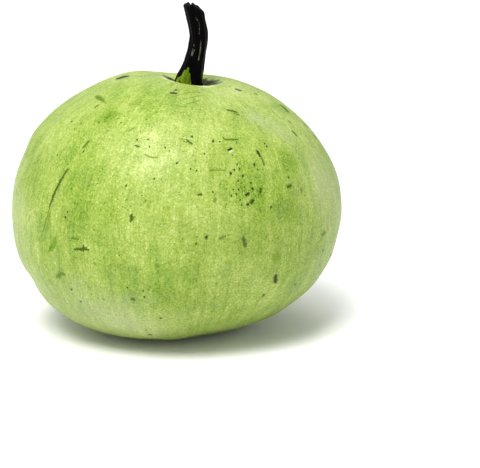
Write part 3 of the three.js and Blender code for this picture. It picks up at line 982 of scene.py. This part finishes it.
class Socket:
    """A node's output; arithmetic on it adds Math nodes."""

    def __init__(self, finish, socket):
        self.finish = finish
        self.socket = socket

    def math(self, operation, *others):
        inputs = dict(enumerate((self, *others)))
        return self.finish.node("ShaderNodeMath", {"operation": operation}, inputs)

    def reflected(self, operation, first):
        """The same for two values, of which this one comes second."""
        return self.finish.node("ShaderNodeMath", {"operation": operation}, {0: first, 1: self})

    def __add__(self, other):
        return self.math("ADD", other)

    def __radd__(self, other):
        return self.reflected("ADD", other)

    def __sub__(self, other):
        return self.math("SUBTRACT", other)

    def __rsub__(self, other):
        return self.reflected("SUBTRACT", other)

    def __mul__(self, other):
        return self.math("MULTIPLY", other)

    def __rmul__(self, other):
        return self.reflected("MULTIPLY", other)

    def __truediv__(self, other):
        return self.math("DIVIDE", other)

    def __rtruediv__(self, other):
        return self.reflected("DIVIDE", other)

    def __pow__(self, other):
        return self.math("POWER", other)

    def __rpow__(self, other):
        return self.reflected("POWER", other)

    def __abs__(self):
        return self.math("ABSOLUTE")

    def at_least(self, least):
        return self.math("MAXIMUM", least)

    def at_most(self, most):
        return self.math("MINIMUM", most)

    def eased(self, low, high):
        """0 below low, 1 above high and smooth between."""
        inputs = {0: self, 1: low, 2: high, 3: 0, 4: 1}
        return self.finish.node("ShaderNodeMapRange", {"interpolation_type": "SMOOTHSTEP"}, inputs)

    def parts(self):
        """The three numbers of a vector."""
        split = self.finish.node("ShaderNodeSeparateXYZ", {}, {0: self})
        return [Socket(self.finish, output) for output in split.socket.node.outputs]


class Finish:
    """A procedural material, or the studio's light dome, built from nodes."""

    def __init__(self, owner):
        self.owner = owner
        owner.use_nodes = True
        self.tree = owner.node_tree
        self.tree.nodes.clear()

    def node(self, kind, settings, inputs, output=0):
        """Adds a node: its settings are set first, then the values or links of its sockets."""
        node = self.tree.nodes.new(kind)
        for name, value in settings.items():
            if name == "stops":
                self.set_stops(node.color_ramp, value)
            else:
                setattr(node, name, value)
        for name, value in inputs.items():
            if isinstance(value, Socket):
                self.tree.links.new(value.socket, node.inputs[name])
            else:
                node.inputs[name].default_value = value
        return Socket(self, node.outputs[output]) if node.outputs else None

    def set_stops(self, ramp, stops):
        while len(ramp.elements) < len(stops):
            ramp.elements.new(0.5)
        for element, (position, shade) in zip(ramp.elements, stops):
            element.position = position
            element.color = shade

    def place(self):
        """The place on the object, in metres."""
        return self.node("ShaderNodeTexCoord", {}, {}, output="Object")

    def numbers(self, name):
        """The three numbers kept at each point under a name."""
        return self.node("ShaderNodeAttribute", {"attribute_name": name}, {}, output="Vector")

    def noise(self, place, grain, detail=2, roughness=0.5):
        """A random pattern around zero, with humps of about one grain."""
        inputs = {"Vector": place, "Scale": 1 / grain, "Detail": detail, "Roughness": roughness}
        return self.node("ShaderNodeTexNoise", {}, inputs) - 0.5

    def moved(self, place, by):
        """Places a long way off, where a random pattern of the same grain runs differently."""
        return self.node("ShaderNodeVectorMath", {"operation": "ADD"}, {0: place, 1: by})

    def warped(self, place, grain, amount):
        """Places pushed about by up to an amount, so that what is drawn at them turns out uneven."""
        inputs = {"Vector": place, "Scale": 1 / grain, "Detail": 2}
        noise = self.node("ShaderNodeTexNoise", {}, inputs, output="Color")
        inputs = {0: noise, 1: (amount, amount, amount), 2: place}
        return self.node("ShaderNodeVectorMath", {"operation": "MULTIPLY_ADD"}, inputs)

    def mixed(self, under, over, share):
        inputs = {0: share, 6: under, 7: over}
        return self.node("ShaderNodeMix", {"data_type": "RGBA"}, inputs, output=2)

    def ramp(self, share, stops):
        return self.node("ShaderNodeValToRGB", {"stops": stops}, {0: share})

    def specks(self, place, grain, size, density):
        """Round specks on a share of the cells of one grain, where the density is over zero."""
        cells = self.node("ShaderNodeTexVoronoi", {}, {"Vector": place, "Scale": 1 / grain})
        chance, wide, _ = Socket(self, cells.socket.node.outputs["Color"]).parts()
        present = (density - chance).eased(0, SPECK_DOUBT)
        radius = (wide * SPECK_VARIETY + SPECK_LEAST) * (size / grain)
        return (radius - cells).eased(0, SPECK_EDGE * size / grain) * present

    def bump(self, height):
        """The normal of a surface with a relief, given in millimetres."""
        inputs = {"Strength": 1, "Distance": MM, "Height": height}
        return self.node("ShaderNodeBump", {}, inputs, output="Normal")

    def finished(self, shader, kind, inputs):
        """Ends the tree with a shader, and returns what it belongs to."""
        self.node(kind, {}, {"Surface": self.node(shader, {}, inputs)})
        return self.owner

    def surface(self, base, roughness, gloss, height=None):
        """Ends the tree of a material, with a relief in millimetres where it has one."""
        inputs = {"Base Color": base, "Roughness": roughness, "Specular IOR Level": gloss}
        if height is not None:
            inputs["Normal"] = self.bump(height)
        return self.finished("ShaderNodeBsdfPrincipled", "ShaderNodeOutputMaterial", inputs)


def mark_mask(finish, number, raggedness):
    """Where one layer's marks are, and their tone."""
    across, along, half_length = finish.numbers(f"place_{number}").parts()
    half_width, tone, strength = finish.numbers(f"look_{number}").parts()
    beyond = (abs(along) - half_length).at_least(0)
    reach = along / (half_length + half_width + TINY)
    half_width = half_width * (1 - (reach * reach).at_most(1) * MARK_TAPER)
    off = (across * across + beyond * beyond) ** 0.5 * raggedness
    inside = (half_width * (1 + MARK_SOFTNESS) - off) / (half_width * 2 * MARK_SOFTNESS + TINY)
    return inside.eased(0, 1) * (strength * MARK_BOLDNESS).at_most(1), tone


SKIN_GREENS = (
    (0, colour(182, 194, 124)),
    (0.3, colour(147, 164, 80)),
    (0.5, colour(125, 149, 56)),
    (0.7, colour(95, 125, 32)),
    (1, colour(48, 80, 8)),
)
MARK_TONES = (
    (0, colour(232, 238, 206)),
    (0.1, colour(150, 172, 82)),
    (0.28, colour(92, 132, 4)),
    (0.5, colour(78, 108, 1)),
    (0.75, colour(48, 66, 1)),
    (0.9, colour(16, 22, 1)),
    (1, colour(4, 6, 1)),
)
# Tones of the cavity's painted shade and stain.
CAVITY_STAIN_AND_SHADE_TONES = ((0.15, colour(112, 126, 48)), (0.5, colour(44, 54, 6)), (1, colour(12, 16, 1)))
# Grey bloom, also used for painted sheen at the edges and painted floor light at the bottom.
HAZE_AND_PAINTED_LIGHT_COLOUR = colour(158, 167, 132)
SPECK_COLOUR = colour(46, 62, 6)
PINPRICK_COLOUR = colour(44, 62, 2)
# Colour of the painted highlight along the cavity's lip.
LIP_HIGHLIGHT_COLOUR = colour(206, 216, 168)
CORK_COLOUR = colour(124, 100, 60)
SKIN_GLOSS = 0.14
# The grain of each random pattern in the skin.
BROAD_GRAIN = 34 * MM
BLOTCH_GRAIN = 9 * MM
STREAK_GRAIN = 4.5 * MM
THREAD_GRAIN = 1.1 * MM
FINE_GRAIN = 2.2 * MM
SMALLEST_GRAIN = 0.9 * MM
MARK_EDGE_GRAIN = 0.6 * MM
CAVITY_RIB_GRAIN = 13 * MM
# How the fine specks are pushed out of true: over what grain, and how far.
UNEVENNESS = (1.2 * MM, 1.1 * MM)
# Each kind of fine speck: the width of the cells that can hold one, and its size.
GREEN_DOTS = (1.25 * MM, 0.4 * MM)
PALE_DOTS = (1.5 * MM, 0.5 * MM)
DARK_DOTS = (2.6 * MM, 0.42 * MM)
PINPRICKS = (1.4 * MM, 0.46 * MM)


def skin_finish():
    finish = Finish(bpy.data.materials.new("gourd_skin"))
    place = finish.place()
    streak_place = finish.numbers("meridian")
    green, haze, speckle = finish.numbers("tint").parts()
    stain_and_shade, rim, scar = finish.numbers("crown").parts()

    broad = finish.noise(place, BROAD_GRAIN)
    blotches = finish.noise(finish.moved(place, (1, 0, 0)), BLOTCH_GRAIN, detail=3, roughness=0.55)
    streaks = finish.noise(streak_place, STREAK_GRAIN, detail=3, roughness=0.6)
    threads = finish.noise(streak_place, THREAD_GRAIN, roughness=0.6)
    fine = finish.noise(place, FINE_GRAIN, detail=3, roughness=0.65)
    grain = finish.noise(finish.moved(place, (0, 1, 0)), SMALLEST_GRAIN)
    uneven = finish.warped(place, *UNEVENNESS)

    clusters = blotches * 1.5 + streaks * 0.9
    green_dots = finish.specks(uneven, *GREEN_DOTS, 0.34 + clusters + speckle * 0.4)
    elsewhere = finish.moved(uneven, (0, 0, 1))
    pale_dots = finish.specks(elsewhere, *PALE_DOTS, 0.3 - clusters + speckle * 0.4)
    depth = 0.4 + broad * 0.45 + blotches * 0.4 + streaks * 0.45
    depth = depth + fine * 0.4 + grain * 0.8 + threads * 0.3 + green * 0.32
    depth = depth + green_dots * 0.4 - pale_dots * 0.26
    base = finish.ramp(depth, SKIN_GREENS)
    # Grey haze: bloom, with painted sheen at the edges and painted floor light at the bottom.
    base = finish.mixed(base, HAZE_AND_PAINTED_LIGHT_COLOUR, (haze + blotches * 1.4).eased(-0.1, 1.4) * 0.5)

    dark_dots = finish.specks(uneven, *DARK_DOTS, 0.04 + speckle * 0.33)
    base = finish.mixed(base, SPECK_COLOUR, dark_dots * 0.8)
    elsewhere = finish.moved(uneven, (3, 0, 0))
    pinpricks = finish.specks(elsewhere, *PINPRICKS, speckle * 0.7 - 0.04)
    base = finish.mixed(base, PINPRICK_COLOUR, pinpricks * 0.8)

    ragged = finish.noise(finish.moved(place, (2, 0, 0)), MARK_EDGE_GRAIN, detail=1) * 2.4 + 1
    pits = dark_dots * 0.3
    for number in range(MARK_LAYERS):
        mask, tone = mark_mask(finish, number, ragged)
        base = finish.mixed(base, finish.ramp(tone, MARK_TONES), mask)
        pits = pits + mask

    # The cavity is darkened by painted shade with some stain, streaked by its ribs.
    ribs = finish.noise(streak_place, CAVITY_RIB_GRAIN, detail=1)
    dirt_and_shade = stain_and_shade + (fine * 0.4 + ribs * 1.8) * stain_and_shade.eased(0, 0.25)
    base = finish.mixed(base, finish.ramp(dirt_and_shade, CAVITY_STAIN_AND_SHADE_TONES), dirt_and_shade.eased(0.05, 0.6) * 0.94)
    # The painted highlight along the cavity's lip.
    base = finish.mixed(base, LIP_HIGHLIGHT_COLOUR, rim * 0.5)
    base = finish.mixed(base, CORK_COLOUR, (scar + fine * 0.5).eased(0.3, 0.8))

    height = grain * 0.03 + fine * 0.07 + blotches * 0.12 - pits * 0.16
    roughness = 0.4 + fine * 0.16 + pits * 0.12
    return finish.surface(base, roughness.at_most(0.9), SKIN_GLOSS, height)


BARK_TONES = (
    (0.3, colour(2, 1, 2)),
    (0.6, colour(5, 4, 4)),
    (0.8, colour(18, 15, 13)),
    (1, colour(54, 50, 44)),
)
SAP_TONES = ((0.3, colour(46, 66, 6)), (0.55, colour(84, 108, 14)), (0.8, colour(122, 140, 46)))
PITH_TONES = ((0.35, colour(10, 8, 6)), (0.7, colour(46, 38, 30)))
# Colour of the stem's pale streaks, partly scuffs and partly painted highlights.
SCUFF_AND_HIGHLIGHT_COLOUR = colour(84, 80, 70)
STEM_GLOSS = 0.03
# The grain of each random pattern on the stem.
FIBRE_GRAIN = 0.8 * MM
STRIPE_GRAIN = 2 * MM
SCURF_GRAIN = 1.3 * MM


def stem_finish():
    finish = Finish(bpy.data.materials.new("dried_stem"))
    place = finish.place()
    fibre_place = finish.numbers("fibre")
    green_reach, cut, scuffs_and_highlights = finish.numbers("growth").parts()

    fibres = finish.noise(fibre_place, FIBRE_GRAIN, detail=4, roughness=0.65)
    stripes = finish.noise(fibre_place, STRIPE_GRAIN)
    scurf = finish.noise(place, SCURF_GRAIN, detail=3, roughness=0.6)

    bark = finish.ramp(fibres * 0.9 + scurf * 0.5 + 0.35, BARK_TONES)
    # The pale streaks are partly scuffed wear and partly painted highlights.
    wear_and_glint = (scuffs_and_highlights + fibres * 1.2 + scurf * 2.4).eased(0.3, 1.3)
    bark = finish.mixed(bark, SCUFF_AND_HIGHLIGHT_COLOUR, wear_and_glint * scuffs_and_highlights.eased(0, 0.7))
    living = (green_reach + stripes * 3 + fibres * 3).eased(-0.6, 1.2)
    sap = finish.ramp(fibres * 0.6 + stripes * 0.5 + 0.55, SAP_TONES)
    base = finish.mixed(bark, sap, living)
    base = finish.mixed(base, finish.ramp(scurf + 0.5, PITH_TONES), cut * 0.75)

    height = fibres * 0.22 + scurf * 0.12
    roughness = 0.42 + scurf * 0.3 + cut * 0.3
    return finish.surface(base, roughness, STEM_GLOSS, height)


# Floor and studio light.
FLOOR_RADIUS = 30
FLOOR_SIDES = 64
FLOOR_GRAIN = 0.4
FLOOR_GREYS = ((0.3, (0.9, 0.9, 0.9, 1)), (0.7, (0.92, 0.92, 0.92, 1)))
FLOOR_ROUGHNESS = 0.6
FLOOR_GLOSS = 0.2
# The light dome's brightness by the sine of the elevation.
DOME_STOPS = ((0, 0.4), (0.2, 0.85), (0.55, 0.9), (0.7, 0.25), (1, 0.25))
# Square softboxes: the direction each hangs in from the fruit, and its power in watts.
SOFTBOX_DISTANCE = 3.4
SOFTBOX_SIZE = 1.8
SOFTBOXES = (
    ("key", (-0.22, -0.47, 0.86), 148),
    ("fill", (-0.3, -0.68, 0.67), 8),
    ("overhead", (0, 0, 1), 36),
    ("back", (0.1, 0.55, 0.83), 18),
)


def floor_finish():
    finish = Finish(bpy.data.materials.new("white_floor"))
    clouds = finish.noise(finish.place(), FLOOR_GRAIN, detail=1)
    shade = finish.ramp(clouds + 0.5, FLOOR_GREYS)
    return finish.surface(shade, FLOOR_ROUGHNESS, FLOOR_GLOSS)


def add_floor():
    turns = np.arange(FLOOR_SIDES) * TURN / FLOOR_SIDES
    rim = np.stack([np.cos(turns), np.sin(turns), 0 * turns], axis=1) * FLOOR_RADIUS
    mesh = bpy.data.meshes.new("floor")
    mesh.from_pydata(rim.tolist(), [], [list(range(FLOOR_SIDES))])
    floor = bpy.data.objects.new("floor", mesh)
    bpy.context.scene.collection.objects.link(floor)
    mesh.materials.append(floor_finish())


def add_softbox(name, direction, target, power):
    data = bpy.data.lights.new(name, "AREA")
    data.shape = "SQUARE"
    data.size = SOFTBOX_SIZE
    data.energy = power
    light = bpy.data.objects.new(name, data)
    away = Vector(direction).normalized()
    light.location = Vector(target) + away * SOFTBOX_DISTANCE
    light.rotation_euler = (-away).to_track_quat("-Z", "Y").to_euler()
    bpy.context.scene.collection.objects.link(light)


def add_light(target):
    dome = Finish(bpy.data.worlds.new("studio"))
    direction = dome.node("ShaderNodeTexCoord", {}, {}, output="Generated")
    greys = [(sine, (light, light, light, 1)) for sine, light in DOME_STOPS]
    inputs = {"Color": dome.ramp(direction.parts()[2], greys), "Strength": 1}
    bpy.context.scene.world = dome.finished("ShaderNodeBackground", "ShaderNodeOutputWorld", inputs)
    for name, away, power in SOFTBOXES:
        add_softbox(name, away, target, power)
    settings = bpy.context.scene.view_settings
    settings.view_transform = "Standard"
    settings.look = "None"


fruit_mesh, fruit_centre = build_fruit()
camera = add_camera(fruit_centre)
fruit_skin = Skin(fruit_mesh, camera)
mark_layers = MarkLayers(fruit_skin)
lay_seen_marks(mark_layers)
lay_unseen_marks(mark_layers)
mark_layers.store(fruit_mesh)
store_numbers(fruit_mesh, "tint", skin_tints(fruit_skin))
fruit_mesh.materials.append(skin_finish())
stem_mesh = build_stem(fruit_centre, camera)
stem_mesh.materials.append(stem_finish())
add_piece(fruit_mesh, "fruit")
add_piece(stem_mesh, "stem")
add_floor()
add_light(fruit_centre)
